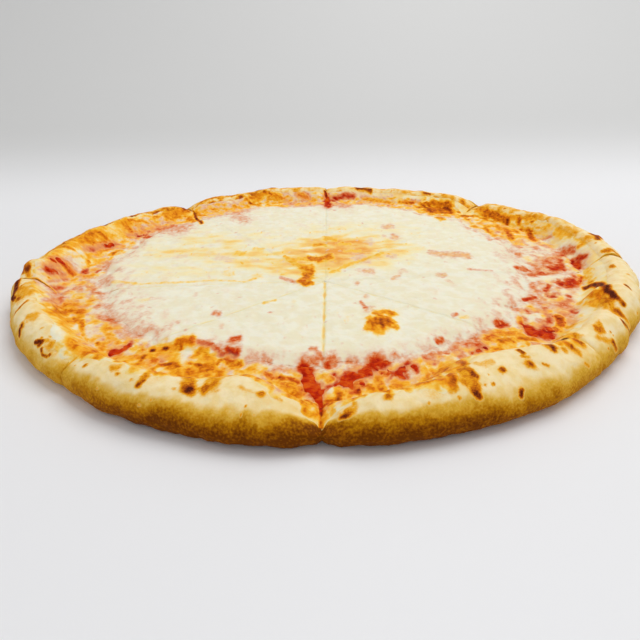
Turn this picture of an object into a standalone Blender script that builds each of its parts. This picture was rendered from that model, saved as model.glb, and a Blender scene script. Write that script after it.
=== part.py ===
"""A fourteen inch cheese pizza, cut into eight slices that still lie together.

Each slice is three solids, one on top of the other: the crust with its puffed rim, the thin layer
of tomato sauce and the melted cheese. The pizza lies on z = 0 with its centre at the origin. The
front is towards -Y. Lengths are in millimetres until mesh_object turns them into metres, and
angles are in degrees, counter-clockwise from +X.
"""

import math

import bpy
import numpy as np

MM = 0.001

# The strokes of the cutter cross a little in front of the middle. Each cut is a straight line
# from there to the rim.
CUT_CENTRE = np.array([-0.5, -27.0])
CUTS = {
    "front": -91.6,
    "front_right": -40.0,
    "right": 3.8,
    "back_right": 50.6,
    "back": 88.7,
    "back_left": 124.0,
    "left": 182.0,
    "front_left": 220.2,
}
HALF_GAP = 0.2
MEAN_RADIUS = 169.0

# How far each cut has pressed the rim down, and how wide the dent is on each side of the cut.
PINCH = {
    "front": (10.0, 11.5),
    "front_right": (1.5, 9.0),
    "right": (2.5, 9.0),
    "back_right": (5.5, 9.0),
    "back": (2.0, 9.0),
    "back_left": (5.0, 9.0),
    "left": (3.0, 9.0),
    "front_left": (3.5, 9.0),
}
PINCH_SHARPNESS = 1.5
PINCH_IN = 0.25

# Slices are counted counter-clockwise from the front cut. Each has an outer radius at its first
# and its second cut, a height of the rim's crest at each, and a width of the rim at its cuts and
# half way between them.
SLICES = [
    ("front", "front_right", (168.8, 168.4), (17.6, 19.0), (24.0, 33.0)),
    ("front_right", "right", (167.6, 172.0), (19.0, 18.5), (27.0, 31.0)),
    ("right", "back_right", (172.6, 170.5), (19.5, 13.6), (26.0, 28.0)),
    ("back_right", "back", (170.0, 169.0), (14.6, 14.6), (24.0, 27.0)),
    ("back", "back_left", (169.0, 169.0), (15.4, 14.4), (24.0, 27.0)),
    ("back_left", "left", (169.5, 173.5), (14.0, 19.6), (24.0, 29.0)),
    ("left", "front_left", (173.0, 168.6), (19.0, 18.0), (25.0, 29.0)),
    ("front_left", "front", (168.4, 168.8), (18.2, 17.8), (24.0, 32.0)),
]

# Where the rim is broader than elsewhere: direction, extra width and reach in degrees. This share
# of the extra width lies outside the crest.
BROAD_PLACES = ((-104.0, 13.0, 6.0), (-63.5, 14.0, 7.0))
BROAD_CREST = 0.65

# The rim in section, from its underside to the foot of its inner slope.
FOOT_INSET = 7.5
WIDEST_HEIGHT = 6.8
CREST_INSET = 12.0
LOWER_ARC = (-90, -60, -30)
UPPER_ARC = (0, 24, 47, 69, 90)
BASE_THICKNESS = 4.7

# The layers on the base.
LAYER_GAP = 0.35
SAUCE_THICKNESS = 1.3
SAUCE_EDGE_THICKNESS = 0.5
SAUCE_CLIMB = 0.5
CHEESE_THICKNESS = 2.6
CHEESE_EDGE_THICKNESS = 0.7
CHEESE_CENTRE = np.array([-6.0, 8.0])
CHEESE_RADIUS = 124.0
CHEESE_SHOULDER = 0.84

# Where a layer has points: shares of the way between two edges.
SLOPE_STEPS = 2
SAUCE_STEPS = 3
RING_STEPS = 2
CHEESE_STEPS = (0.16, 0.32, 0.48, 0.62, 0.74, 0.84, 0.93, 1.0)
COLUMN_SPACING = 6.7

# Swellings and creases of the rim: direction from the pizza's middle, inset from the outer edge,
# height above the plain rim and reach. A crease has a negative height.
RIM_LUMPS = [
    (-24.5, 23.0, 4.0, 6.0),
    (-26.0, 15.5, 2.2, 6.5),
    (-28.5, 7.0, 1.8, 6.5),
    (-31.5, 20.0, -2.2, 6.0),
    (-33.0, 11.0, -2.6, 6.5),
    (-34.0, 3.0, -3.0, 7.0),
    (-40.5, 1.0, -1.8, 4.5),
    (-168.5, 2.0, 3.6, 6.5),
    (-174.5, 7.0, 3.4, 7.0),
    (-160.0, 4.0, -1.8, 4.0),
    (-57.0, 20.0, 2.4, 14.0),
    (-143.0, 12.0, 1.4, 9.0),
    (18.6, 12.0, 2.0, 9.0),
    (24.5, 13.0, 1.6, 7.0),
    (105.0, 13.0, 1.8, 8.0),
    (149.0, 14.0, 2.0, 12.0),
    (69.0, 12.0, 1.0, 9.0),
]

# Swellings and dents of the cheese: place, height and reach.
CHEESE_LUMPS = [
    (-10.0, -17.5, -1.0, 6.5),
    (24.0, -76.5, 0.9, 6.5),
    (78.6, 8.0, 0.7, 7.0),
    (48.5, 54.6, 0.7, 7.0),
    (-45.0, 45.0, 0.5, 18.0),
    (-60.0, -40.0, 0.4, 16.0),
    (60.0, -45.0, 0.4, 18.0),
    (10.0, 80.0, 0.5, 16.0),
]


# Unevenness, as layers of smooth random hills: height, spacing and seed.
RADIUS_WAVES = ((0.6, 24, 3), (0.3, 11, 4))
CREST_WAVES = ((0.8, 19, 5),)
WIDTH_WAVES = ((1.5, 27, 6),)
CHEESE_EDGE_WAVES = ((3.5, 15, 7),)
CHEESE_TOP_WAVES = ((0.35, 21, 8), (0.2, 10, 9))

SHARP_ANGLE = 50
CRUST_COLOUR = (0.80, 0.58, 0.30)
SAUCE_COLOUR = (0.55, 0.06, 0.02)
CHEESE_COLOUR = (0.86, 0.80, 0.60)


def lattice(column, row, seed):
    """A fixed random number from -1 to 1 for each whole-number place."""
    mixed = column * 374761393 + row * 668265263 + seed * 1442695041
    mixed = ((mixed ^ (mixed >> 13)) * 1274126177) & 0x7FFFFFFF
    return (mixed % 20001) / 10000.0 - 1.0


def lumps(x, y, size, seed):
    """Smooth random hills from -1 to 1, one about every size millimetres."""
    x = np.asarray(x, float) / size
    y = np.asarray(y, float) / size
    column = np.floor(x).astype(np.int64)
    row = np.floor(y).astype(np.int64)
    across = x - column
    along = y - row
    across = across * across * (3 - 2 * across)
    along = along * along * (3 - 2 * along)
    near = lattice(column, row, seed) * (1 - across) + lattice(column + 1, row, seed) * across
    far = lattice(column, row + 1, seed) * (1 - across) + lattice(column + 1, row + 1, seed) * across
    return near * (1 - along) + far * along


def uneven(waves, x, y=0.0):
    """Sum of the layers of hills, in millimetres."""
    return sum(height * lumps(x, y, size, seed) for height, size, seed in waves)


def unit(angle):
    angle = np.radians(angle)
    return np.stack([np.cos(angle), np.sin(angle)], axis=-1)


def reach_from_cuts(angle, radius):
    """Distance from the cuts' crossing, in this direction, to this far from the origin."""
    along = unit(angle) @ CUT_CENTRE
    return np.sqrt(radius**2 - CUT_CENTRE @ CUT_CENTRE + along**2) - along


def reach_of_cheese(angle):
    """Distance from the cuts' crossing to the plain outline of the cheese."""
    offset = CUT_CENTRE - CHEESE_CENTRE
    along = unit(angle) @ offset
    return np.sqrt(CHEESE_RADIUS**2 - offset @ offset + along**2) - along


class Slice:
    """The sizes of one slice along its columns, which run from its first cut to its second."""

    def __init__(self, number, first_cut, second_cut, radii, crests, widths):
        self.number = number
        first = CUTS[first_cut]
        self.wedge = (CUTS[second_cut] - first) % 360
        self.middle = first + self.wedge / 2
        rim_length = math.radians(self.wedge) * reach_from_cuts(self.middle, radii[0])
        columns = round(rim_length / COLUMN_SPACING) + 1
        self.column_angle = np.linspace(first, first + self.wedge, columns)
        self.sideways = np.linspace(1, -1, columns)
        radius = np.linspace(*radii, columns)
        crest = np.linspace(*crests, columns)

        # The pizza's own direction of each column's outer end, and how far round the rim it is.
        flat_reach = reach_from_cuts(self.column_angle, radius)[:, None]
        plain = CUT_CENTRE + flat_reach * unit(self.column_angle)
        self.angle = np.degrees(np.arctan2(plain[:, 1], plain[:, 0]))
        arc = np.radians(np.unwrap(self.angle, period=360)) * MEAN_RADIUS
        pinch = self.pinch(arc, PINCH[first_cut], PINCH[second_cut])

        self.radius = radius - PINCH_IN * pinch + uneven(RADIUS_WAVES, arc)
        self.crest = crest - pinch + uneven(CREST_WAVES, arc)
        belly = np.sin(np.linspace(0, math.pi, columns))
        broad = self.extra_width()
        self.crest_inset = CREST_INSET + BROAD_CREST * broad
        width = widths[0] + (widths[1] - widths[0]) * belly + broad
        self.width = width + uneven(WIDTH_WAVES, arc)
        self.reach = reach_from_cuts(self.column_angle, self.radius)
        self.cheese = reach_of_cheese(self.column_angle) + uneven(CHEESE_EDGE_WAVES, arc)

    def extra_width(self):
        """Width that the broad places add to the rim."""
        extra = np.zeros_like(self.radius)
        for direction, width, reach in BROAD_PLACES:
            turn = (self.angle - direction + 180) % 360 - 180
            extra = extra + width * np.exp(-((turn / reach) ** 2))
        return extra

    @staticmethod
    def pinch(arc, first, second):
        """Depth of the dents that a slice's two cuts have left in its rim."""

        def dent(depth, width, away):
            return depth * np.exp(-((away / width) ** PINCH_SHARPNESS))

        return dent(*first, arc - arc[0]) + dent(*second, arc[-1] - arc)

    def place(self, distance, height):
        """Points of one row, from each column's distance from the crossing and its height."""
        flat = CUT_CENTRE + distance[:, None] * unit(self.column_angle)
        flat = flat + HALF_GAP * self.sideways[:, None] * unit(self.column_angle + 90)
        return np.column_stack([flat, np.broadcast_to(height, distance.shape)])

    def tip(self, height):
        """The point where the slice's two sides meet."""
        away = HALF_GAP / math.sin(math.radians(self.wedge / 2))
        return np.array([*(CUT_CENTRE + away * unit(self.middle)), height])


def rim_section(piece, arcs):
    """Rows of (inset, height) on the rounded outside of the rim, one for each angle of arcs."""
    rows = []
    for degrees in arcs:
        turn = math.radians(degrees)
        if degrees <= 0:
            inset = np.full_like(piece.crest, FOOT_INSET * (1 - math.cos(turn)))
            height = np.full_like(piece.crest, WIDEST_HEIGHT * (1 + math.sin(turn)))
        else:
            inset = piece.crest_inset * (1 - math.cos(turn))
            height = WIDEST_HEIGHT + (piece.crest - WIDEST_HEIGHT) * math.sin(turn)
        rows.append((inset, height))
    return rows


def slope_height(piece, share):
    """Height of the rim's inner slope, at a share of the way from its crest to its foot."""
    return BASE_THICKNESS + (piece.crest - BASE_THICKNESS) * (0.5 + 0.5 * math.cos(math.pi * share))


def slope_rows(piece, shares):
    return [
        (piece.crest_inset + (piece.width - piece.crest_inset) * share, slope_height(piece, share))
        for share in shares
    ]


def climb_shares():
    """The rows that the crust and the sauce share, from the sauce's edge to the slope's foot."""
    return np.linspace(SAUCE_CLIMB, 1, SAUCE_STEPS + 1)


def ring_rows(piece):
    """Rows of distance from the crossing, from the slope's foot to the cheese's edge."""
    foot = piece.reach - piece.width
    return [foot + (piece.cheese - foot) * share for share in np.linspace(0, 1, RING_STEPS + 1)[1:]]


def lump_rise(piece, inset, height):
    """How far the named swellings lift the rim at these points of one row."""
    rise = np.zeros_like(piece.radius)
    for direction, lump_inset, lump_height, spread in RIM_LUMPS:
        turn = (piece.angle - direction + 180) % 360 - 180
        along = np.radians(turn) * piece.radius
        away = np.hypot(along, inset - lump_inset)
        rise = rise + lump_height * np.exp(-((away / spread) ** 2))
    return rise * np.clip(height / WIDEST_HEIGHT, 0, 1)


def crust_top(piece):
    """Rows of points over the crust, from under the rim to the edge of the cheese."""
    rows = []
    outside = rim_section(piece, LOWER_ARC + UPPER_ARC)
    for row, (inset, height) in enumerate(outside):
        upward = row / (len(outside) - 1)
        rise = lump_rise(piece, inset, height)
        rows.append(piece.place(piece.reach - inset + rise * (1 - upward), height + rise * upward))
    for inset, height in slope_rows(piece, np.linspace(0, SAUCE_CLIMB, SLOPE_STEPS + 1)[1:-1]):
        rows.append(piece.place(piece.reach - inset, height + lump_rise(piece, inset, height)))
    return rows + sauce_floor(piece, 0)


def sauce_floor(piece, lift):
    """Rows of the surface under the sauce, with the lift that a layer on it adds to each row."""
    rows = []
    for share, (inset, height) in zip(climb_shares(), slope_rows(piece, climb_shares())):
        rise = lump_rise(piece, inset, height) * (1 - share) / (1 - SAUCE_CLIMB)
        rows.append(piece.place(piece.reach - inset, height + rise + lift))
    for distance in ring_rows(piece):
        rows.append(piece.place(distance, BASE_THICKNESS + lift))
    return rows


def sauce_top(piece):
    """Rows of the top of the sauce, thinner at its edge on the slope."""
    rows = sauce_floor(piece, LAYER_GAP)
    for step, row in enumerate(rows):
        share = min(1, step / SAUCE_STEPS)
        thickness = SAUCE_EDGE_THICKNESS + (SAUCE_THICKNESS - SAUCE_EDGE_THICKNESS) * share
        row[:, 2] += thickness
    return rows


def cheese_top(piece, floor):
    """Rows of the top of the cheese, from its thin edge to near the crossing of the cuts."""
    rows = []
    for share in reversed(CHEESE_STEPS):
        row = piece.place(piece.cheese * share, floor)
        x, y = row[:, 0], row[:, 1]
        full = 1 - max(0, (share - CHEESE_SHOULDER) / (1 - CHEESE_SHOULDER)) ** 2
        thickness = CHEESE_EDGE_THICKNESS + (CHEESE_THICKNESS - CHEESE_EDGE_THICKNESS) * full
        height = thickness + full * uneven(CHEESE_TOP_WAVES, x, y)
        for lump_x, lump_y, lump_height, spread in CHEESE_LUMPS:
            away = np.hypot(x - lump_x, y - lump_y)
            height = height + full * lump_height * np.exp(-((away / spread) ** 2))
        row[:, 2] += height
        rows.append(row)
    return rows


def closed_slice(bottom, top, bottom_tip, top_tip):
    """Vertices and faces of a closed wedge between two stacks of rows.

    Both stacks start at the outer edge, where they join, and end at the innermost row, which a
    fan joins to the tip. Quads of both are split along the same diagonal, so that the underside of
    one layer is parallel to the top of the next.
    """
    columns = len(top[0])
    points = [tuple(point) for row in bottom + top for point in row]
    low_tip, high_tip = len(points), len(points) + 1
    points += [tuple(bottom_tip), tuple(top_tip)]

    def at(row, column):
        return row * columns + column

    faces = []
    first_top = len(bottom)
    last = len(bottom) + len(top) - 1
    order = list(range(first_top - 1, -1, -1)) + list(range(first_top, last + 1))
    for outer, inner in zip(order, order[1:]):
        for column in range(columns - 1):
            a, b = at(outer, column), at(outer, column + 1)
            c, d = at(inner, column + 1), at(inner, column)
            if inner < outer:
                faces += [(a, b, d), (b, c, d)]
            else:
                faces += [(a, b, c), (a, c, d)]
    for column in range(columns - 1):
        faces.append((at(last, column), at(last, column + 1), high_tip))
        faces.append((at(first_top - 1, column + 1), at(first_top - 1, column), low_tip))
    for column, turned in ((0, False), (columns - 1, True)):
        loop = [low_tip] + [at(row, column) for row in order] + [high_tip]
        faces.append(tuple(reversed(loop)) if turned else tuple(loop))
    return points, faces


def mesh_object(name, points, faces, material):
    mesh = bpy.data.meshes.new(name)
    mesh.from_pydata([tuple(MM * value for value in point) for point in points], [], faces)
    mesh.update()
    mesh.shade_smooth()
    mesh.set_sharp_from_angle(angle=math.radians(SHARP_ANGLE))
    mesh.materials.append(material)
    made = bpy.data.objects.new(name, mesh)
    bpy.context.collection.objects.link(made)
    return made


def food_material(name, colour, roughness):
    material = bpy.data.materials.new(name)
    material.use_nodes = True
    shader = material.node_tree.nodes["Principled BSDF"]
    shader.inputs["Base Color"].default_value = (*colour, 1)
    shader.inputs["Roughness"].default_value = roughness
    shader.inputs["Metallic"].default_value = 0.0
    return material


def add_crust(piece, material):
    top = crust_top(piece)
    underside = top[0].copy()
    points, faces = closed_slice([underside], top[1:], piece.tip(0), piece.tip(BASE_THICKNESS))
    mesh_object(f"crust_{piece.number}", points, faces, material)


def add_sauce(piece, material):
    bottom = sauce_floor(piece, LAYER_GAP)
    top = sauce_top(piece)
    floor = BASE_THICKNESS + LAYER_GAP
    points, faces = closed_slice(bottom, top, piece.tip(floor), piece.tip(floor + SAUCE_THICKNESS))
    mesh_object(f"sauce_{piece.number}", points, faces, material)


def add_cheese(piece, material):
    floor = BASE_THICKNESS + SAUCE_THICKNESS + 2 * LAYER_GAP
    bottom = [piece.place(piece.cheese, floor)]
    top = cheese_top(piece, floor)
    points, faces = closed_slice(bottom, top, piece.tip(floor), piece.tip(floor + CHEESE_THICKNESS))
    mesh_object(f"cheese_{piece.number}", points, faces, material)


def main():
    for old in list(bpy.data.objects):
        bpy.data.objects.remove(old)
    crust = food_material("baked_crust", CRUST_COLOUR, 0.75)
    sauce = food_material("tomato_sauce", SAUCE_COLOUR, 0.35)
    cheese = food_material("melted_cheese", CHEESE_COLOUR, 0.40)
    for number, sizes in enumerate(SLICES, start=1):
        piece = Slice(number, *sizes)
        add_crust(piece, crust)
        add_sauce(piece, sauce)
        add_cheese(piece, cheese)


main()
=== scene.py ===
"""Looks of a fourteen inch cheese pizza, cut into eight slices that still lie together.

Every slice's crust, sauce and cheese is made again on the form of its solid, with fine relief and
with maps of how toasted, oily or thin each point is, which the materials read. Sheets of browned
cheese and smears of sauce lie over the ring between the cheese and the rim. Lengths are in
millimetres until mesh_piece turns them into metres, and angles are in degrees, counter-clockwise
from +X, with the front towards -Y.
"""
import math

import bpy
import numpy as np
from mathutils import Matrix, Vector


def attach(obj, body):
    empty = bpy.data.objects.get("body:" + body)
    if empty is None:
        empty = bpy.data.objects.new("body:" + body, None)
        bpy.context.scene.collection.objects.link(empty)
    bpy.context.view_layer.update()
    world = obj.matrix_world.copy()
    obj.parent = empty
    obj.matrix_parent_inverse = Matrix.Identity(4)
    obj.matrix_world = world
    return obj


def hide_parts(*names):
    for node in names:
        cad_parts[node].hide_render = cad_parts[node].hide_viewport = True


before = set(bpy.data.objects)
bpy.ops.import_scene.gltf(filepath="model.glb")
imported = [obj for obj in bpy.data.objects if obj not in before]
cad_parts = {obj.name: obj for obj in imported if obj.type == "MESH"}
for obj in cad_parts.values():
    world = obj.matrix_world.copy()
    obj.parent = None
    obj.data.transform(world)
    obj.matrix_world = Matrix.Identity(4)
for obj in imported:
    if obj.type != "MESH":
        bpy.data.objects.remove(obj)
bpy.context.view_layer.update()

MM = 0.001

# ---- The form of the slices, as in the part ----
CUT_CENTRE = np.array([-0.5, -27.0])
CUTS = {
    "front": -91.6,
    "front_right": -40.0,
    "right": 3.8,
    "back_right": 50.6,
    "back": 88.7,
    "back_left": 124.0,
    "left": 182.0,
    "front_left": 220.2,
}
PINCH = {
    "front": (10.0, 11.5),
    "front_right": (1.5, 9.0),
    "right": (2.5, 9.0),
    "back_right": (5.5, 9.0),
    "back": (2.0, 9.0),
    "back_left": (5.0, 9.0),
    "left": (3.0, 9.0),
    "front_left": (3.5, 9.0),
}
PINCH_SHARPNESS = 1.5
PINCH_IN = 0.25
MEAN_RADIUS = 169.0
SLICES = [
    ("front", "front_right", (168.8, 168.4), (17.6, 19.0), (24.0, 33.0)),
    ("front_right", "right", (167.6, 172.0), (19.0, 18.5), (27.0, 31.0)),
    ("right", "back_right", (172.6, 170.5), (19.5, 13.6), (26.0, 28.0)),
    ("back_right", "back", (170.0, 169.0), (14.6, 14.6), (24.0, 27.0)),
    ("back", "back_left", (169.0, 169.0), (15.4, 14.4), (24.0, 27.0)),
    ("back_left", "left", (169.5, 173.5), (14.0, 19.6), (24.0, 29.0)),
    ("left", "front_left", (173.0, 168.6), (19.0, 18.0), (25.0, 29.0)),
    ("front_left", "front", (168.4, 168.8), (18.2, 17.8), (24.0, 32.0)),
]
BROAD_PLACES = ((-104.0, 13.0, 6.0), (-63.5, 14.0, 7.0))
BROAD_CREST = 0.65
FOOT_INSET = 7.5
WIDEST_HEIGHT = 6.8
CREST_INSET = 12.0
SECTION_ARCS = (-90, -60, -30, 0, 24, 47, 69, 90)
BASE_THICKNESS = 4.7
LAYER_GAP = 0.35
SAUCE_THICKNESS = 1.3
SAUCE_EDGE_THICKNESS = 0.5
SAUCE_CLIMB = 0.5
CHEESE_THICKNESS = 2.6
CHEESE_CENTRE = np.array([-6.0, 8.0])
CHEESE_RADIUS = 124.0
RIM_LUMPS = [
    (-24.5, 23.0, 4.0, 6.0),
    (-26.0, 15.5, 2.2, 6.5),
    (-28.5, 7.0, 1.8, 6.5),
    (-31.5, 20.0, -2.2, 6.0),
    (-33.0, 11.0, -2.6, 6.5),
    (-34.0, 3.0, -3.0, 7.0),
    (-40.5, 1.0, -1.8, 4.5),
    (-168.5, 2.0, 3.6, 6.5),
    (-174.5, 7.0, 3.4, 7.0),
    (-160.0, 4.0, -1.8, 4.0),
    (-57.0, 20.0, 2.4, 14.0),
    (-143.0, 12.0, 1.4, 9.0),
    (18.6, 12.0, 2.0, 9.0),
    (24.5, 13.0, 1.6, 7.0),
    (105.0, 13.0, 1.8, 8.0),
    (149.0, 14.0, 2.0, 12.0),
    (69.0, 12.0, 1.0, 9.0),
]
CHEESE_LUMPS = [
    (-10.0, -17.5, -1.0, 6.5),
    (24.0, -76.5, 0.9, 6.5),
    (78.6, 8.0, 0.7, 7.0),
    (48.5, 54.6, 0.7, 7.0),
    (-45.0, 45.0, 0.5, 18.0),
    (-60.0, -40.0, 0.4, 16.0),
    (60.0, -45.0, 0.4, 18.0),
    (10.0, 80.0, 0.5, 16.0),
]
RADIUS_WAVES = ((0.6, 24, 3), (0.3, 11, 4))
CREST_WAVES = ((0.8, 19, 5),)
WIDTH_WAVES = ((1.5, 27, 6),)
CHEESE_EDGE_WAVES = ((3.5, 15, 7),)
CHEESE_TOP_WAVES = ((0.35, 21, 8), (0.2, 10, 9))

# ---- The fine grid ----
POINT_SPACING = 0.9
# Beside a cut the points lie closer, by this share, over about this many of them.
END_SPACING = 0.25
END_POINTS = 4.0
# Each slice reaches this far past the middle of its cuts, so that no gap shows between them.
HALF_GAP = -0.03
ARC_STEP = 2.6
SLOPE_STEP = 0.035
RING_STEPS = 26
# A layer's underside lies this far down in what it rests on.
SUNK = 0.3
# Edges sharper than this are creased. The thin sheets have none.
SHARP_ANGLE = 40
NO_CREASES = 180

# ---- What lies on the rim ----
# Where the toppings end on the dough: direction and distance from the middle.
TOPPING_EDGE = [
    (-160, 159), (-148, 153), (-142, 157), (-134, 163), (-131, 160),
    (-126, 157), (-121, 156.5), (-118.5, 160), (-116, 158.5), (-113, 150),
    (-109.5, 152), (-106, 144), (-102, 148), (-98, 155), (-94.5, 157),
    (-91.8, 160), (-89.5, 158), (-86.5, 156), (-82, 157), (-77, 158),
    (-73.5, 159), (-70, 147), (-66, 140), (-62, 143), (-57, 150),
    (-53, 156), (-50, 159), (-46, 152), (-40, 148), (-35, 151),
    (-29, 145), (-22, 143), (-14, 143), (-6, 148), (2, 153),
    (12, 151), (24, 154), (34, 150), (44, 146), (52, 153),
    (60, 152), (71, 148), (80, 150), (88, 153), (96, 151),
    (106, 156), (116, 150), (124, 153), (134, 155), (145, 157),
    (156, 158), (166, 160), (176, 162), (188, 163), (200, 159),
]
# How brown the rim's outside is low down, by direction, and how high that reaches: the crust's own
# baked band, with painted shade that darkens it lowest down and most at the front.
BAND_AND_SHADE_STRENGTH = [
    (-165, 0.45), (-142, 0.36), (-133, 0.44), (-126, 0.64), (-118, 0.94),
    (-90, 1.06), (-75, 1.02), (-66, 0.76), (-57, 0.55), (-40, 0.46), (-15, 0.36),
    (30, 0.40), (90, 0.60), (150, 0.62),
]
BAND_AND_SHADE_TOP = 16.5
# How golden the rim's crest is, by direction.
CREST_GOLD = [
    (-165, 0.30), (-152, 0.12), (-135, 0.05), (-60, 0.05), (-35, 0.10), (0, 0.12),
    (18, 0.28), (45, 0.38), (70, 0.28), (90, 0.24), (104, 0.44), (130, 0.58),
    (160, 0.60), (185, 0.44),
]
# Specks on the rim, drawn at random: how many, and between what their direction in radians, their
# distance inwards from the crest, their size and their darkness lie, how much larger a rare one is
# and how long they are. The first lie all round, the second on the outside of the far side.
SPECK_GROUPS = (
    (150, (-math.pi, math.pi), (-17, 9), (0.4, 0.8), (0.25, 0.60), 0.8, 1.0),
    (34, (-0.12, 3.60), (-15, -4), (1.2, 3.6), (0.35, 0.85), 0, 1.5),
)
SPECK_SEED = 11
SPECK_RISE = 0.16

# ---- The ring between the cheese and the rim ----
# How golden the melted cheese is on the ring: direction and share of it that is browned.
RING_GOLD = [
    (-168, 0.20), (-160, 0.55), (-150, 0.75), (-125, 0.80), (-100, 0.75),
    (-74, 0.75), (-64, 0.40), (-50, 0.60), (-38, 0.45), (-24, 0.20),
    (0, 0.15), (14, 0.30), (24, 0.80), (45, 0.85), (66, 0.80),
    (86, 0.45), (104, 0.90), (128, 0.95), (148, 0.85), (166, 0.95),
    (184, 0.60),
]
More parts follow.
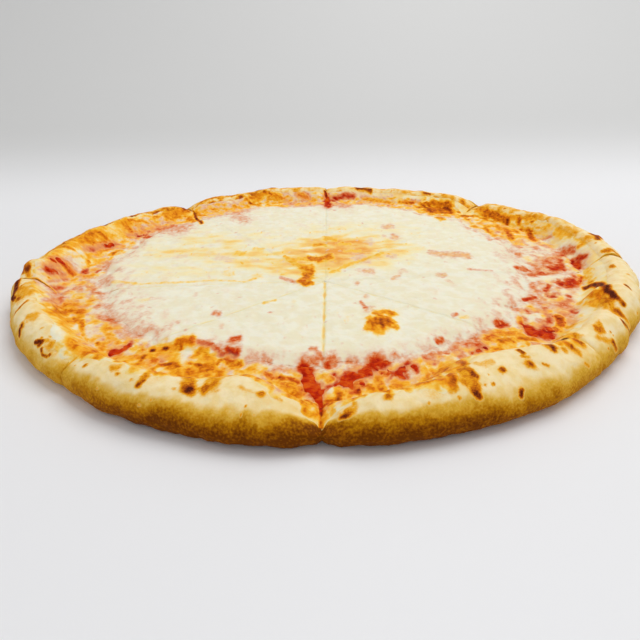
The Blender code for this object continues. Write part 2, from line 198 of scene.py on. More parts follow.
# Marks traced on the photograph, one to a line: how strong it is, half its width in
# pixels, and the pixels that it runs through.
TOAST_TRACED = """
.34 6 60,246 90,236 120,228
.5 5 190,371 190,383
.42 5 208,375 214,384
.46 6 425,384 440,377 450,372
.5 4 451,378 452,387
.4 4 418,386 430,384
.48 5 462,370 468,380 474,386
.42 5 52,345
.5 3 330,404 340,398
.45 3 306,402 312,408
.95 1.9 19,281 15,294
.98 2.4 13,298 15,299
.7 2 24,268 29,269
.5 2 28,272 29,278
.35 7 22,290 26,294
.5 2.6 20,289
.55 1.4 18,299 21,299
.62 1.3 27,301 20,308 15,315
.33 3 29,317 36,317
.14 8 36,311 30,320
.4 3.4 23,325 20,336
.88 2 22,326 20,331 20,336
.93 2.2 36,342 42,342 39,345
.28 6.5 50,346 56,349
.72 1.6 42,349 43,355 48,357 50,355
.38 2.5 48,341
.55 1.8 118,374
.5 1.7 98,389
.42 2.5 53,307 64,306 76,306
.45 3.5 51,313 58,318
.62 1 54,309 53,315
.5 2.6 70,312 84,313
.55 2.2 73,320 78,322 83,328
.33 3.6 60,323 66,332 70,344 73,352
.5 1.6 82,322 83,334 86,341
.62 1.8 97,345
.34 4.2 72,346 82,351 95,354 106,355
.55 1.6 76,348
.62 1.2 47,278
.62 2.5 64,266 72,275
.42 1.8 86,256 87,264
.28 3 92,261 99,262
.5 2.6 66,247 71,250
.38 3.6 86,240 91,236
.5 1.8 100,235 104,240
.33 6 52,258 66,248 80,240 96,230
.52 1 46,252 60,244 79,232 96,223
.6 1 126,213 131,213
.5 3.2 126,224 130,230
.46 2.2 166,214 176,214 187,211
.62 .9 183,212 189,209
.42 2.2 172,219
.82 1.1 194,214 202,224
.5 2.2 189,219 195,222
.5 2.6 248,199 257,196 264,193 275,195 280,198
.62 1.6 250,203
.56 2.2 265,192
.4 2.4 300,195 306,197
.78 1.2 325,191 327,197
.8 1.1 356,188 365,189 371,191
.36 1.8 365,199 380,201 390,203
.55 1.8 401,202 412,203
.52 3.6 424,205 438,204 450,206
.6 4.4 430,211 449,212
.5 3.4 440,219
.66 1.6 425,207 431,213
.66 1.6 446,208 451,213
.5 1.4 459,213
.75 .9 424,193 430,194
.46 2.6 478,209 485,212
.6 2.6 488,213 498,216 507,220
.72 1.3 509,220 508,225
.42 3 513,218 525,217 536,217
.6 1.8 520,221
.6 1.8 533,222
.56 2.8 507,231 511,239
.45 2.6 523,229 529,230
.62 2.6 531,234 532,240
.4 2.6 549,226
.34 3.4 559,232 574,233
.2 9 515,226 545,230
.74 2.4 592,233 597,236 598,240
.35 3 584,240 591,237
.42 2.8 582,246
.56 1.6 604,252 612,251 619,256
.72 1.1 620,257
.52 1.8 612,267
.5 1.3 593,283
.26 2.6 590,270 592,281
.76 1.3 626,286 630,289
.6 1.1 627,259
.42 2.4 566,260 568,266
.4 2 577,284 582,280
.44 2.6 583,278
.52 2 519,319 520,324
.62 2.8 557,319 562,320 560,326
.4 2.2 564,327 577,325
.5 2.6 556,331 562,333
.4 3.2 486,340 500,335 514,334 521,338
.5 2.2 500,342 512,341
.33 2.2 487,351 497,349
.5 1.7 519,340 535,340
.4 1.8 528,345
.42 3.6 560,340 574,335
.52 3 574,341 581,342
.5 2.4 564,344 572,348 579,353
.42 2.2 565,351
.64 1.6 572,347
.2 10 566,344 578,346
.42 5.6 550,347
.64 4.2 551,347
.76 2.2 553,349
.86 .8 518,350 524,353
.46 2.2 522,356 528,357
.35 5 530,364
.7 3.6 530,364
.3 4.4 502,371
.84 3 502,371
.55 1.6 543,364 548,366
.5 1.4 485,386
.62 1.5 493,385
.36 3.2 521,390 521,397
.84 2.1 521,391 521,396
.24 2.6 484,355
.25 2.2 475,364 485,365 493,362
.36 3.4 417,387 429,378 425,373
.42 3 432,384 445,383
.46 2.8 437,375 446,370 453,374 454,382 451,388
.55 1.4 429,385 434,383
.6 2.8 461,364 465,366
.45 3 466,369 472,374
.62 2.2 472,374 476,377
.4 5 466,383 472,387
.52 4.6 474,392
.86 3.4 476,394 478,397
.42 2.2 392,389 399,387 407,385
.32 5 389,396
.52 3.6 389,396
.42 2 381,374 388,375
.42 2.6 352,387 362,385
.45 3.2 369,389 376,391
.5 2.4 351,393 360,394
.9 .9 359,391
.5 2.4 336,392 341,397 338,400
.46 2.4 331,380
.85 2 318,397 319,401
.82 1.2 320,404 321,412 321,418
.5 3 325,405 330,402 332,408
.46 2.2 324,412
.6 1.6 321,418 322,428
.36 2.4 314,419 321,425 327,419
.5 1.7 315,408 317,404
.42 3 302,393 300,398
.55 1.8 280,378 290,380 298,383
.5 2 265,375 272,379
.4 4.2 279,387 289,388 299,391
.42 2.4 290,397 298,397
.3 2.4 276,399 281,401
.28 2.2 240,386 244,390 252,393 258,395
.52 3.4 261,395
.62 1.6 262,394
.5 2.6 225,362 232,365 240,366
.55 3.1 178,344 185,341 191,341
.62 1.6 181,347
.38 4.2 196,356 205,357 212,362
.5 2.4 199,352
.36 4.4 152,353 164,350 172,355 177,362
.48 1.8 138,359 148,357 156,362
.5 2.6 142,361
1 .9 152,352 154,352
.85 .7 164,350 167,350
.7 .8 163,366 174,365 180,368
.56 .8 190,365 205,368 217,366 221,361
.5 3 160,366 153,370 147,376 142,382 138,386
.68 1.7 144,381 138,386
.3 2.8 132,368 124,364 112,369
.42 2.2 114,368 119,367
.25 3.4 140,370
.33 2.6 116,358 128,361
.42 3 163,375 174,368
.33 6 185,372 199,373
.42 5 187,379
.62 6.4 188,388
.72 3.6 185,390 191,393
.92 2.6 188,391 191,390
.33 2.8 207,389 214,384 221,380 223,374
.64 3 204,389
.42 2.6 218,376 222,372
.3 2.8 198,368 203,371
.45 1.6 174,389
.5 1.6 429,404
.34 4.4 346,412 355,406
.4 4.8 343,417 349,414
.86 2.9 343,418 348,416
.85 3 612,343 615,350
.5 3.6 600,338 608,342
.65 1.7 608,349
.5 2.8 597,328 601,326
.6 1.2 611,332
.6 2 584,364 588,367
.95 2.2 587,289 593,286 601,286 607,290 613,296
.86 2.2 613,296 623,305
.46 3 592,295 600,298 610,303
.4 3.6 595,303 607,307 616,312
.52 3 618,310 624,318 629,326
.72 1.8 622,322 628,329
.38 2.4 582,304
.38 2.4 315,245 323,245
.52 2.8 310,259 318,260 330,257
.38 2.8 302,268 312,268
.44 4.9 308,272
.54 4.4 307,277
.56 2.2 300,281 306,284 311,283
.3 2.4 325,238 335,240
.45 2.6 376,314 384,312 394,314
.58 4.4 373,322 388,322
.7 1.8 381,321 383,326
.14 2.4 347,318
.12 2.4 293,302
"""
# Faint golden streaks on the cheese, and those at its left.
FAINT_TRACED = """
.42 1.4 285,257 290,260 308,259
.42 1.4 291,262 305,268
.3 1.2 281,275 287,274
.25 1.8 255,276 261,277
.27 1.7 255,248 262,250
.33 1.8 237,253 244,254
.36 1.2 331,272 338,270 345,266 383,253
.36 1.2 340,244 350,244
.32 1.1 345,251 360,251
.22 1.1 330,229 345,229
.5 2.2 368,328 380,331
.5 1.7 392,326 396,326
.32 1 264,303 275,300
.2 1.2 145,255 160,256
.24 1.6 225,272 232,274
.24 1.1 461,318 468,317
"""
FAINT_LEFT_TRACED = """
.3 .8 188,282 215,280 245,282 255,279
.3 .8 112,283 140,284 188,282
.24 1.1 140,300 148,300
"""
RED_TRACED = """
.7 4 47,270 60,262 72,268
.7 3.2 84,250 91,249 98,247 105,246 112,244
.45 4 128,236 150,230 172,226
.6 2.2 62,276 70,272
.85 4 307,372 313,385 318,396
.45 2.5 52,306 62,304 75,304 84,310
.3 4 88,328 89,340
.4 1.8 83,330 86,341
.95 2.4 112,354 119,352 126,348 130,345
1 2.2 112,353 116,353
.35 2 116,358 130,357
.45 2.2 99,317 110,321 118,330
.35 4.5 104,341 112,346
.26 13 104,330 116,334
.3 3 124,332 140,337
.4 3 29,281 37,283
.34 2.2 48,274 64,276 82,279
.92 3 51,261 60,260 64,262
.85 2 47,270 53,271
.55 2.8 64,266 72,275
.85 2.4 84,271 85,274
.42 3 103,263 107,266
.55 1.8 94,271 98,272
.32 3 103,279 109,281
.4 1.8 86,277 91,279
.6 2.2 95,248 100,247 105,246 110,246 115,246 121,247
.42 7 130,233 146,230 158,228
.62 1.8 137,237 144,236 150,237
.52 2.2 129,236
.36 7 162,229 182,228
.32 7 206,212 224,212 244,211
.3 4 236,217 246,220
.6 3 299,194 306,197
.42 3 285,203 300,205 315,204
1 2.2 327,199 328,207
.8 2.6 334,199 344,196 352,196
.4 4.5 335,205 346,206
.36 2.4 362,200 380,203 395,205
.5 1.8 404,201 418,202
.4 3.5 503,228 508,236
.4 1.8 489,240 502,238
.5 2.8 531,236 533,241
.5 1.8 543,240 551,236
.22 9 520,230 548,236
.6 2.4 563,258 566,252 572,250
.9 2.8 574,262 580,258 585,257
.95 3 573,265 578,266
.85 1.6 561,262 563,270
.8 2.6 552,270 560,268
.5 4 546,262 560,256
.46 3 538,269 545,268
.55 1.1 515,268 528,271 535,275 539,279
.9 2.8 560,284 566,286 573,282
.8 2.4 575,284 581,280
.5 2 573,276 577,279
.82 1.4 549,286 546,292 548,297 555,297
.8 1.1 524,299 535,298
.6 2 562,304 569,301
.72 1.6 569,297
.45 2.6 563,309 576,310
.7 1.3 572,311 578,313
.34 5 540,305 552,306
1 3.6 529,332 536,334 546,335 551,336
.6 2.4 519,318 520,324
.8 2.6 524,327 530,329
.8 2.2 498,326 506,325
.8 2.6 545,328 552,330
.85 1.8 547,316 552,317 549,321
.6 2.6 539,323 545,324
.5 2.2 528,312 546,311
.45 1.8 513,310 526,312
.5 2.6 556,320 561,325
.45 3.4 455,350 470,346 480,340 490,335
.4 3 488,337 500,334 512,333
.6 2.4 479,345 486,347
.85 1.4 471,354 480,351 486,349
.95 3.6 344,381 352,377 360,374 368,373
1 2 347,381 353,378
.88 3.4 372,366 378,363 384,366
.7 1.6 387,364 391,367
.75 2.6 380,373 389,374
.92 2.6 398,374 404,370 410,366 416,368
.85 2.8 400,377 406,376
.55 2.4 414,373
.78 3.2 350,386 357,388 363,384
.45 2.4 351,392 358,392
.4 3 378,382 388,380
.6 2 344,388
.95 1.4 323,392 330,387 340,385
.75 2.4 335,376
.56 3 327,364 333,361
.6 1.7 328,368
.42 1.9 320,356 325,358
.5 1.7 309,359 317,361
.45 1.6 311,350 316,350
.4 1.9 348,359 357,361
.32 2.6 340,361
.36 2.4 394,355 398,356
.6 2.2 425,360 437,364
.5 1.4 439,354 448,353
.55 1.4 437,341 443,339
.95 3.4 303,370 310,380
.95 4 305,385 312,388 316,393
1 3 317,396 319,401
.8 2 320,402 321,412
.36 3 299,380
.5 3 304,392 308,398
.5 2 280,378 298,382
.6 2.4 265,375 272,378
.32 3.4 250,362 265,361
.4 1.8 270,360
.95 2.3 227,352 232,354 236,353
.65 2.1 232,341 238,339
.6 1.4 192,341 202,343 212,346 220,351 225,356
.3 2.4 228,363 244,366
.35 3 180,344 190,341
.6 1.1 157,359 163,366
.45 2.2 150,367 157,362
.6 1.6 304,280
.38 1.2 281,278 300,283
.45 1.2 361,302 366,307
.2 1.4 150,299 160,298
.45 1.6 214,313 219,314
.3 1.3 178,322
.3 1.3 186,330
.22 1.6 196,294
.32 1.4 143,322
.4 1 453,316 457,314
.3 .8 468,269 492,271
.2 4 500,256 518,258
"""
PALE_TRACED = """
.9 5 52,332 61,336
.8 4 63,352 66,358
.9 3 76,328
.9 3.4 88,329 89,337
.85 5 70,258 75,258
.85 3.4 75,266 78,270
.6 6 106,230 114,232
.5 2.4 145,227
.9 2.6 566,260 568,266
.9 1.8 530,281 549,279 566,276
.8 5 528,255 545,252
.9 2.6 553,291
.8 3 562,292
.9 3 533,320 538,318
.8 4 509,320 514,318
.85 3 411,375
.85 2.4 331,391
.9 4 186,354 184,361
"""
# Brownish flecks on the cheese.
FLECKS_TRACED = """
.36 1.8 371,242
.4 2.4 358,258 365,260
.46 1.4 366,271 372,271
.3 1.8 360,271
.4 1.1 389,256 395,257
.46 .9 393,278 398,276
.32 1.1 400,272 405,270
.46 1 357,283
.46 1.1 438,275 445,275
.3 1.1 448,281 452,284
.16 1.8 432,290 440,291
.5 1.4 385,227 391,226
.34 1 384,236
.5 1.7 395,237
.5 1 366,296
.46 1.3 366,310
.4 1.3 372,308
.28 1.7 216,257 230,260
.28 1.3 175,257 186,256
.36 .9 222,326
.5 1.6 432,253 452,255 468,256
"""
# How much wider than traced each kind is drawn, as its edges fade, and the least half width.
TOAST_WIDENED = 1.2
RED_WIDENED = 1.4
SMALLEST_MARK = 0.7
# The faint streaks are drawn weaker and broader than traced. The flecks are toast and sauce at
# once, each with this share of their strength, and broader too, from a least half width in pixels.
FAINT_SHARE = 0.74
FAINT_LEFT_SHARE = 0.62
FAINT_BROADER = 1.4
FLECK_TOAST = 0.255
FLECK_RED = 0.68
FLECK_BROADER = 1.6
FLECK_LEAST = 1.7
# Marks on what lies nearly flat run through all heights and are stretched away from the front.
# Their pixels cover between this many times as much ground along the view as across it.
LYING_SPREAD = (1.6, 8.0)
LYING_STRETCH = 2.2
# A ray that passes just above the solids is tried again this many times, half a pixel lower.
TRACE_TRIES = 20
# How uneven a mark's edge and strength are, how fast its core and its halo fade, and how far it
# stands up, for its width and at most.
MARK_RAGGED = 0.6
MARK_PATCHY = 0.25
CORE_FADE = 0.6
HALO_FADE = 0.15
MARK_RISE = 0.3
MOST_MARK_RISE = 0.9
# Each kind's own unevenness, and the share of a mark that is its halo.
TOAST_SEED, RED_SEED, PALE_SEED = 300, 320, 340
TOAST_HALO, RED_HALO, PALE_HALO = 0.22, 0.35, 0.2
BARE_TOAST_HALO = 0.12
# Marks whose halo is larger than this reach further, in half widths.
SMALL_HALO = 0.2
HALO_REACH = (2.5, 4)

# ---- The cheese ----
# Oily, golden parts: place, reach to the side, reach across and how strong.
GOLDEN_HAZE = [
    (12, 22, 40, 30, 1.10),
    (-12, 2, 28, 26, 0.85),
    (-40, 12, 46, 24, 0.58),
    (-84, 26, 40, 20, 0.48),
    (-90, -8, 50, 22, 0.34),
    (52, 22, 30, 24, 0.30),
    (-70, 40, 60, 40, 0.40),
    (20, 60, 80, 30, 0.32),
    (62, 70, 30, 22, 0.20),
    (20, 66, 34, 16, 0.30),
    (-60, -22, 46, 8, 0.20),
    (22, -78, 16, 18, 0.30),
]
# Each cut's looks: how much oil stands in it, how deep its groove is, and how brown it is where it
# crosses the rim.
CUT_LOOKS = {
    "front": (0.62, 0.60, 0.74),
    "front_right": (0.30, 0.35, 0.16),
    "right": (0.10, 0.12, 0.30),
    "back_right": (0.10, 0.12, 0.40),
    "back": (0.30, 0.25, 0.40),
    "back_left": (0.12, 0.12, 0.55),
    "left": (0.34, 0.30, 0.45),
    "front_left": (0.34, 0.30, 0.35),
}
# Half widths of a cut's groove in the cheese, in the rim and in the sauce, and of its brown edge.
CUT_GROOVE_WIDTH = 0.8
RIM_GROOVE_WIDTH = 1.3
SAUCE_GROOVE_WIDTH = 1.2
BROWN_CUT_WIDTH = 1.0
# How thick the cheese is at its edge over the sauce, and at least everywhere.
CHEESE_EDGE_COVER = 0.45
LEAST_COVER = 0.15
# The browned cheese on the ring and the rim: how thick it is, how high its bubbles and pale spots
# stand above that, how uneven it is, and how thick at least.
FILM_THICKNESS = 0.55
FILM_BUBBLES = 0.4
FILM_PALE_RISE = 0.5
FILM_UNEVEN = 0.22
FILM_LEAST = 0.25
# How deep in the dough the edge of the melted cheese begins.
FILM_ROOT = -0.15
# How far the cheese thins out inside its edge, by direction.
THIN_REACH = [
    (-170, 24), (-150, 28), (-130, 20), (-100, 9), (-80, 8),
    (-60, 12), (-40, 18), (-15, 22), (5, 14), (30, 12),
    (60, 6), (85, 9), (105, 13), (130, 16), (160, 14),
]

# ---- The camera ----
CAMERA_PLACE = Vector((-3.77, -349.92, 142.69)) * MM
CAMERA_DOWN = 26.0175
CAMERA_ROLL = -1.3068
CAMERA_LENS = 35.44
CAMERA_SENSOR = 36.0
PHOTO_SIZE = 640
FOCAL_PIXELS = PHOTO_SIZE * CAMERA_LENS / CAMERA_SENSOR


def camera_turn():
    """The camera's right, upward and backward directions as the columns of a matrix."""
    down = math.radians(CAMERA_DOWN)
    roll = math.radians(CAMERA_ROLL)
    back = Vector((0, -math.cos(down), math.sin(down)))
    right = Vector((1, 0, 0))
    up = back.cross(right)
    turned_right = math.cos(roll) * right + math.sin(roll) * up
    turned_up = -math.sin(roll) * right + math.cos(roll) * up
    return Matrix((turned_right, turned_up, back)).transposed()


def traced(across, down):
    """The place on the solids that a pixel of the photograph shows, or the next below, and whose."""
    layer = bpy.context.evaluated_depsgraph_get()
    for lower in range(TRACE_TRIES):
        pixel = Vector((across - PHOTO_SIZE / 2, PHOTO_SIZE / 2 - down - lower / 2, -FOCAL_PIXELS))
        ray = (camera_turn() @ pixel).normalized()
        found, place, _, _, solid, _ = bpy.context.scene.ray_cast(layer, CAMERA_PLACE, ray)
        if found:
            return place / MM, solid.name
    raise ValueError(f"no solid at pixel {across}, {down}")


def marks_on_solids(lines, widened, share=1.0, broader=1.0, thinnest=0.0):
    """The traced marks: whether each lies flat, its strength, half its width and its places."""
    back = camera_turn().col[2]
    marks = []
    for line in lines.strip().splitlines():
        strength, size, *pixels = line.split()
        pixels = [[float(number) for number in pixel.split(",")] for pixel in pixels]
        places = np.array([traced(*pixel)[0] for pixel in pixels])
        across, down = pixels[len(pixels) // 2]
        middle, solid = traced(across, down)
        pixel_size = (CAMERA_PLACE / MM - middle).dot(back) / FOCAL_PIXELS
        spread = traced(across, down - 1)[0] - traced(across, down + 1)[0]
        least, most = LYING_SPREAD
        lying = "cheese" in solid or least < spread.length / 2 / pixel_size < most
        size = max(broader * float(size), thinnest)
        width = max(size * pixel_size * widened, SMALLEST_MARK)
        marks.append((lying, share * float(strength), width, places[:, : 2 if lying else 3]))
    return marks


def lattice(column, row, seed):
    """A fixed random number from -1 to 1 for each whole-number place."""
    mixed = column * 374761393 + row * 668265263 + seed * 1442695041
    mixed = ((mixed ^ (mixed >> 13)) * 1274126177) & 0x7FFFFFFF
    return (mixed % 20001) / 10000.0 - 1.0


def cell(x, y, size):
    """The column and row of each place in a square lattice, and how far in it lies."""
    x = np.asarray(x, float) / size
    y = np.asarray(y, float) / size
    column = np.floor(x).astype(np.int64)
    row = np.floor(y).astype(np.int64)
    return column, row, x - column, y - row


def lumps(x, y, size, seed):
    """Smooth random hills from -1 to 1, one about every size millimetres, as in the part."""
    column, row, across, along = cell(x, y, size)
    across = across * across * (3 - 2 * across)
    along = along * along * (3 - 2 * along)
    near = lattice(column, row, seed) * (1 - across) + lattice(column + 1, row, seed) * across
    far = lattice(column, row + 1, seed) * (1 - across) + lattice(column + 1, row + 1, seed) * across
    return near * (1 - along) + far * along


def uneven(waves, x, y=0.0):
    return sum(height * lumps(x, y, size, seed) for height, size, seed in waves)


def ripples(x, y, size, seed):
    """Smooth random waves from about -1 to 1 without a visible grid."""
    column, row, into_column, into_row = cell(x, y, size)
    total = 0.0
    for right in (0, 1):
        for up in (0, 1):
            turn = math.pi * lattice(column + right, row + up, seed)
            across = into_column - right
            along = into_row - up
            reach = smooth(1 - np.abs(across)) * smooth(1 - np.abs(along))
            total = total + reach * (np.cos(turn) * across + np.sin(turn) * along)
    return 1.7 * total


def rough(x, y, size, seed, layers=3):
    """Waves of several sizes, each half as large and half as high as the last."""
    return sum(ripples(x, y, size / 2**n, seed + n) / 2**n for n in range(layers))


def smooth(share):
    share = np.clip(share, 0, 1)
    return share * share * (3 - 2 * share)


def rising(value, low, high):
    """0 below low, 1 above high and smooth between them."""
    return smooth((value - low) / (high - low))


def unit(angle):
    angle = np.radians(angle)
    return np.stack([np.cos(angle), np.sin(angle)], axis=-1)


def reach_from_cuts(angle, radius, offset=CUT_CENTRE):
    """Distance from the cuts' crossing to a circle, from whose middle the crossing is offset."""
    along = unit(angle) @ offset
    return np.sqrt(radius**2 - offset @ offset + along**2) - along


def crowded_shares(count):
    """Shares from 0 to 1, closer together near both ends."""
    step = np.arange(count - 1) + 0.5
    from_end = np.minimum(step, count - 1 - step)
    spacing = 1 - (1 - END_SPACING) * np.exp(-from_end / END_POINTS)
    shares = np.concatenate([[0], np.cumsum(spacing)])
    return shares / shares[-1]


class Slice:
    """The sizes of one slice along its columns, as in the part but with many more columns."""

    def __init__(self, number, first_cut, second_cut, radii, crests, widths):
        self.number = number
        self.cuts = (first_cut, second_cut)
        first = CUTS[first_cut]
        self.wedge = (CUTS[second_cut] - first) % 360
        self.middle = first + self.wedge / 2
        rim_length = math.radians(self.wedge) * reach_from_cuts(self.middle, radii[0])
        columns = 8 * round(rim_length / POINT_SPACING / 8) + 1
        share = crowded_shares(columns)
        self.column_angle = first + self.wedge * share
        self.sideways = 1 - 2 * share
        radius = radii[0] + (radii[1] - radii[0]) * share
        crest = crests[0] + (crests[1] - crests[0]) * share

        flat_reach = reach_from_cuts(self.column_angle, radius)[:, None]
        plain = CUT_CENTRE + flat_reach * unit(self.column_angle)
        self.angle = np.degrees(np.arctan2(plain[:, 1], plain[:, 0]))
        arc = np.radians(np.unwrap(self.angle, period=360)) * MEAN_RADIUS
        pinch = self.pinch(arc, PINCH[first_cut], PINCH[second_cut])

        self.radius = radius - PINCH_IN * pinch + uneven(RADIUS_WAVES, arc)
        self.crest = crest - pinch + uneven(CREST_WAVES, arc)
        belly = np.sin(math.pi * share)
        broad = self.extra_width()
        self.crest_inset = CREST_INSET + BROAD_CREST * broad
        width = widths[0] + (widths[1] - widths[0]) * belly + broad
        self.width = width + uneven(WIDTH_WAVES, arc)
        self.reach = reach_from_cuts(self.column_angle, self.radius)
        cheese = reach_from_cuts(self.column_angle, CHEESE_RADIUS, CUT_CENTRE - CHEESE_CENTRE)
        self.cheese = cheese + uneven(CHEESE_EDGE_WAVES, arc)
        self.arc = arc

    def extra_width(self):
        extra = np.zeros_like(self.radius)
        for direction, width, reach in BROAD_PLACES:
            turn = turned_from(self.angle, direction)
            extra = extra + width * np.exp(-((turn / reach) ** 2))
        return extra

    @staticmethod
    def pinch(arc, first, second):
        def dent(depth, width, away):
            return depth * np.exp(-((away / width) ** PINCH_SHARPNESS))

        return dent(*first, arc - arc[0]) + dent(*second, arc[-1] - arc)

    def place(self, distance, height):
        """Points of one row, from each column's distance from the crossing and its height."""
        flat = CUT_CENTRE + distance[:, None] * unit(self.column_angle)
        flat = flat + HALF_GAP * self.sideways[:, None] * unit(self.column_angle + 90)
        return np.column_stack([flat, np.broadcast_to(height, distance.shape)])

    def tip(self, height):
        away = HALF_GAP / math.sin(math.radians(self.wedge / 2))
        return np.array([*(CUT_CENTRE + away * unit(self.middle)), height])

    def from_cuts(self, points):
        """Distance of each point from the slice's first and second cut."""
        away = points[..., :2] - CUT_CENTRE
        first = away @ unit(self.column_angle[0] + 90)
        second = -(away @ unit(self.column_angle[-1] + 90))
        return first, second


def rim_section(piece, degrees):
    """Inset and height of the rim's rounded outside at an angle from its underside to its crest."""
    turn = math.radians(degrees)
    if degrees <= 0:
        inset = np.full_like(piece.crest, FOOT_INSET * (1 - math.cos(turn)))
        height = np.full_like(piece.crest, WIDEST_HEIGHT * (1 + math.sin(turn)))
    else:
        inset = piece.crest_inset * (1 - math.cos(turn))
        height = WIDEST_HEIGHT + (piece.crest - WIDEST_HEIGHT) * math.sin(turn)
    return inset, height


def slope_section(piece, share):
    inset = piece.crest_inset + (piece.width - piece.crest_inset) * share
    fall = 0.5 + 0.5 * math.cos(math.pi * share)
    return inset, BASE_THICKNESS + (piece.crest - BASE_THICKNESS) * fall


def lump_rise(piece, inset, height):
    """How far the named swellings lift the rim at these points of one row."""
    rise = np.zeros_like(piece.radius)
    for direction, lump_inset, lump_height, spread in RIM_LUMPS:
        along = np.radians(turned_from(piece.angle, direction)) * piece.radius
        away = np.hypot(along, inset - lump_inset)
        rise = rise + lump_height * np.exp(-((away / spread) ** 2))
    return rise * np.clip(height / WIDEST_HEIGHT, 0, 1)


def crust_surface(piece, arcs, shares):
    """Grid of points over the rim, and how far along its section each lies from the crest."""
    rows, section = [], []
    upward_shares = np.linspace(0, 1, len(SECTION_ARCS))
    for degrees in arcs:
        inset, height = rim_section(piece, degrees)
        upward = np.interp(degrees, SECTION_ARCS, upward_shares)
        rise = lump_rise(piece, inset, height)
        rows.append(piece.place(piece.reach - inset + rise * (1 - upward), height + rise * upward))
        section.append(np.full_like(piece.crest, -0.19 * (90 - degrees)))
    for share in shares:
        inset, height = slope_section(piece, share)
        rise = lump_rise(piece, inset, height) * min(1, (1 - share) / (1 - SAUCE_CLIMB))
        rows.append(piece.place(piece.reach - inset, height + rise))
        section.append(1.2 * share * (piece.width - piece.crest_inset))
    return np.array(rows), np.array(section)


def topping_lift(shares):
    """How far above the bare crust the sauce's top lies, down the rim's inner slope."""
    climb = np.clip((np.asarray(shares) - SAUCE_CLIMB) / (1 - SAUCE_CLIMB), 0, 1)
    on_slope = rising(np.asarray(shares), SAUCE_CLIMB - 0.25, SAUCE_CLIMB)
    edge = SAUCE_EDGE_THICKNESS + (SAUCE_THICKNESS - SAUCE_EDGE_THICKNESS) * climb
    return on_slope * (LAYER_GAP + edge)


def ring_surface(piece, shares, inner):
    """Grid of points on the flat sauce, from the slope's foot to a distance inside the cheese."""
    foot = piece.reach - piece.width
    stop = piece.cheese - inner
    height = BASE_THICKNESS + LAYER_GAP + SAUCE_THICKNESS
    return np.array([piece.place(foot + (stop - foot) * share, height) for share in shares])


def outward(grid):
    """The upward or outward normal at each point of a grid of rows and columns."""
    down_rows = np.gradient(grid, axis=0)
    along_columns = np.gradient(grid, axis=1)
    normal = np.cross(along_columns, down_rows)
    length = np.linalg.norm(normal, axis=-1, keepdims=True)
    return normal / np.maximum(length, 1e-9)


def turned_from(angle, direction):
    """How far an angle lies from a direction, from -180 to 180 degrees."""
    return (angle - direction + 180) % 360 - 180


def known_at(places, direction):
    """Value at a direction, between the named directions and their values."""
    known = sorted((angle % 360, value) for angle, value in places)
    angles = [known[-1][0] - 360] + [angle for angle, _ in known] + [known[0][0] + 360]
    values = [known[-1][1]] + [value for _, value in known] + [known[0][1]]
    return np.interp(direction % 360, angles, values)


def known_around(places, x, y):
    """Value in the direction of each place from the middle."""
    return known_at(places, np.degrees(np.arctan2(y, x)))


def inside_toppings(x, y):
    """How far inside the toppings' outer edge each place lies."""
    edge = known_around(TOPPING_EDGE, x, y)
    return edge + 3.0 * ripples(x, y, 9, 120) + 1.5 * ripples(x, y, 4, 121) - np.hypot(x, y)


def marks_share(points, marks, seed, halo):
    """How strongly the marks colour each point, each with a weak halo round it, and their rise."""
    share = np.zeros(points.shape[:-1])
    rise = np.zeros(points.shape[:-1])
    across, along = points[..., 0] + points[..., 2], points[..., 1]
    torn = MARK_RAGGED * rough(across, along, 3.4, seed, 3)
    patchy = 1 + MARK_PATCHY * rough(across, 0.6 * along, 2.6, seed + 7, 2)
    for lying, strength, width, places in marks:
        stretch = np.array([1.0, LYING_STRETCH]) if lying else np.ones(3)
        scaled = points[..., : len(stretch)] / stretch
        places = places / stretch
        reach = HALO_REACH[halo > SMALL_HALO] * width + 1
        close = (scaled > places.min(axis=0) - reach) & (scaled < places.max(axis=0) + reach)
        close = close.all(axis=-1)
        if not close.any():
            continue
        near = scaled[close]
        away = np.linalg.norm(near - places[0], axis=-1)
        for start, end in zip(places, places[1:]):
            run = end - start
            passed = np.clip((near - start) @ run / (run @ run), 0, 1)
            gap = np.linalg.norm(near - start - passed[:, None] * run, axis=-1)
            away = np.minimum(away, gap)
        ragged = (1.2 - 0.95 * strength) * torn[close]
        away = np.maximum(away / width + ragged, 0)
        found = (1 - halo) * np.exp(-CORE_FADE * away**3) + halo * np.exp(-HALO_FADE * away**2)
        share[close] += (strength * found * patchy[close]) ** 3
        height = min(MARK_RISE * width, MOST_MARK_RISE) * strength
        rise[close] = np.maximum(rise[close], height * found)
    return np.cbrt(share), rise


def specks(piece, points, section):
    """Rise and darkness of small specks at points of the rim, with larger ones on its far side."""
    rise = np.zeros(points.shape[:2])
    toast = np.zeros(points.shape[:2])
    draw = np.random.default_rng(SPECK_SEED)
    for count, directions, insets, sizes, darkness, larger, longer in SPECK_GROUPS:
        for _ in range(count):
            at = draw.uniform(*directions)
            inset = draw.uniform(*insets)
            size = draw.uniform(*sizes)
            if larger:
                size = size + larger * draw.random() ** 5
            dark = draw.uniform(*darkness)
            turn = (piece.arc - at * MEAN_RADIUS) / (2 * math.pi * MEAN_RADIUS)
            along = (turn - np.round(turn)) * 2 * math.pi * MEAN_RADIUS
            columns = np.abs(along) < 3 * size
            if not columns.any():
                continue
            away = np.hypot(along[columns][None, :] / longer, section[:, columns] - inset) / size
            near = smooth(0.8 * (1.7 - away))
            rise[:, columns] += SPECK_RISE * size * near
            toast[:, columns] = np.maximum(toast[:, columns], dark * near)
    return rise, toast * rising(points[..., 2], 7, 13)


